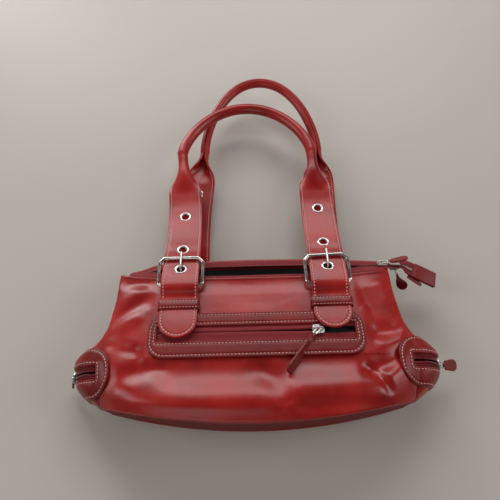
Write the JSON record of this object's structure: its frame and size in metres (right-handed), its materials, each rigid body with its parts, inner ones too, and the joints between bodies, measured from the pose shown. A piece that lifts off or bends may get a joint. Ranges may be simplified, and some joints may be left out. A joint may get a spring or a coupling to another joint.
{
  "type": "shoulder_handbag",
  "caption": "Red smooth-leather shoulder handbag lying on its back, with a framed zip pocket, end pockets, buckled straps and rolled grip handles.",
  "frame": {"origin": "middle of the flat that the back rests on, level with the straps' mirror line of the front", "axes": "+X to the wearer-facing right of the front, +Y from the base to the handles, +Z out of the front panel"},
  "size_m": [0.3966, 0.4467, 0.0767],
  "materials": {
    "leather": "glossy",
    "trim_leather": "satin",
    "zip_tape": "matte",
    "steel": "polished",
    "lining": "matte"
  },
  "bodies": {
    "bag": {"front_panel": "leather", "back_panel": "leather", "base_panel": "leather", "left_gusset": "leather", "right_gusset": "leather", "lining": "lining", "pocket_pouch": "lining", "pocket_frame": "trim_leather", "pocket_tapes": "zip_tape", "pocket_teeth": "zip_tape", "mouth_tape_front": "zip_tape", "mouth_tape_back": "zip_tape", "mouth_teeth_front": "zip_tape", "mouth_teeth_back": "zip_tape", "mouth_end_tab": "trim_leather", "left_end_frame": "trim_leather", "right_end_frame": "trim_leather", "left_end_tapes": "zip_tape", "right_end_tapes": "zip_tape", "left_end_teeth": "zip_tape", "right_end_teeth": "zip_tape", "front_chapes": "trim_leather", "back_chapes": "trim_leather", "front_keepers": "trim_leather", "back_keepers": "trim_leather", "front_left_buckle": "steel", "front_right_buckle": "steel", "back_left_buckle": "steel", "back_right_buckle": "steel", "front_left_strap_end": "leather", "front_right_strap_end": "leather", "back_left_strap_end": "leather", "back_right_strap_end": "leather", "front_strap_eyelets": "steel", "back_strap_eyelets": "steel"},
    "front_handle": {"front_handle": "leather", "front_handle_eyelets": "steel"},
    "back_handle": {"back_handle": "leather", "back_handle_eyelets": "steel"},
    "pocket_slider": {"pocket_slider": "steel"},
    "pocket_link": {"pocket_link": "steel"},
    "pocket_pull": {"pocket_pull": "trim_leather"},
    "mouth_slider_a": {"mouth_slider_a": "steel"},
    "mouth_pull_a": {"mouth_link_a": "steel", "mouth_pull_a": "trim_leather"},
    "mouth_slider_b": {"mouth_slider_b": "steel"},
    "mouth_pull_b": {"mouth_link_b": "steel", "mouth_pull_b": "trim_leather"},
    "left_end_slider": {"left_end_slider": "steel"},
    "left_end_pull": {"left_end_link": "steel", "left_end_pull": "trim_leather"},
    "front_left_prong": {"front_left_prong": "steel"},
    "back_left_prong": {"back_left_prong": "steel"},
    "right_end_slider": {"right_end_slider": "steel"},
    "right_end_pull": {"right_end_link": "steel", "right_end_pull": "trim_leather"},
    "front_right_prong": {"front_right_prong": "steel"},
    "back_right_prong": {"back_right_prong": "steel"}
  },
  "joints": [
    {"name": "front_handle_swing", "type": "hinge", "parent": "bag", "child": "front_handle", "pos_m": [0, 0.14169, 0.0523], "axis": [1, 0, 0], "range_deg": [0, 105]},
    {"name": "back_handle_swing", "type": "hinge", "parent": "bag", "child": "back_handle", "pos_m": [0.006, 0.1631, 0.0135], "axis": [1, 0, 0], "range_deg": [0, 84]},
    {"name": "front_left_prong_lift", "type": "hinge", "parent": "bag", "child": "front_left_prong", "pos_m": [-0.076, 0.09775, 0.05888], "axis": [1, 0, 0], "range_deg": [0, 2]},
    {"name": "front_right_prong_lift", "type": "hinge", "parent": "bag", "child": "front_right_prong", "pos_m": [0.076, 0.09775, 0.05888], "axis": [1, 0, 0], "range_deg": [0, 2]},
    {"name": "back_left_prong_lift", "type": "hinge", "parent": "bag", "child": "back_left_prong", "pos_m": [-0.07, 0.119, 0.0113], "axis": [-1, 0, 0], "range_deg": [0, 2]},
    {"name": "back_right_prong_lift", "type": "hinge", "parent": "bag", "child": "back_right_prong", "pos_m": [0.082, 0.119, 0.0113], "axis": [-1, 0, 0], "range_deg": [0, 2]},
    {"name": "pocket_slider_run", "type": "slide", "parent": "bag", "child": "pocket_slider", "axis": [1, 0, 0], "range_m": [-0.105, 0.028]},
    {"name": "pocket_link_turn", "type": "hinge", "parent": "pocket_slider", "child": "pocket_link", "pos_m": [0.06, 0.04971, 0.06725], "axis": [0, 0.1736, 0.9848], "range_deg": [-2, 82]},
    {"name": "pocket_pull_flip", "type": "hinge", "parent": "pocket_link", "child": "pocket_pull", "pos_m": [0.05518, 0.0441, 0.0685], "axis": [-0.766, 0.633, -0.1116], "range_deg": [0, 112]},
    {"name": "mouth_slider_a_run", "type": "slide", "parent": "bag", "child": "mouth_slider_a", "axis": [1, 0, 0], "range_m": [-0.014, 0]},
    {"name": "mouth_pull_a_flip", "type": "hinge", "parent": "mouth_slider_a", "child": "mouth_pull_a", "pos_m": [0.139, 0.12948, 0.03948], "axis": [-0.1392, -0.7002, 0.7002], "range_deg": [0, 130]},
    {"name": "mouth_slider_b_run", "type": "slide", "parent": "bag", "child": "mouth_slider_b", "axis": [1, 0, 0], "range_m": [0, 0.003]},
    {"name": "mouth_pull_b_flip", "type": "hinge", "parent": "mouth_slider_b", "child": "mouth_pull_b", "pos_m": [0.152, 0.12452, 0.03453], "axis": [0.2419, 0.6861, -0.6861], "range_deg": [-40, 38]},
    {"name": "left_end_slider_run", "type": "hinge", "parent": "bag", "child": "left_end_slider", "pos_m": [-0.1515, 0.022, 0.03206], "axis": [0, 1, 0], "range_deg": [-10, 50]},
    {"name": "left_end_pull_flip", "type": "hinge", "parent": "left_end_slider", "child": "left_end_pull", "pos_m": [-0.18206, 0.022, 0.03206], "axis": [0, 1, 0], "range_deg": [0, 130]},
    {"name": "right_end_slider_run", "type": "hinge", "parent": "bag", "child": "right_end_slider", "pos_m": [0.1515, 0.022, 0.03206], "axis": [0, 1, 0], "range_deg": [-50, 15]},
    {"name": "right_end_pull_flip", "type": "hinge", "parent": "right_end_slider", "child": "right_end_pull", "pos_m": [0.18206, 0.022, 0.03206], "axis": [0, -0.9781, -0.2079], "range_deg": [-36, 90]}
  ],
  "couplings": [
    {"joint": "back_handle_swing", "follows": "front_handle_swing", "ratio": 0.8}
  ]
}
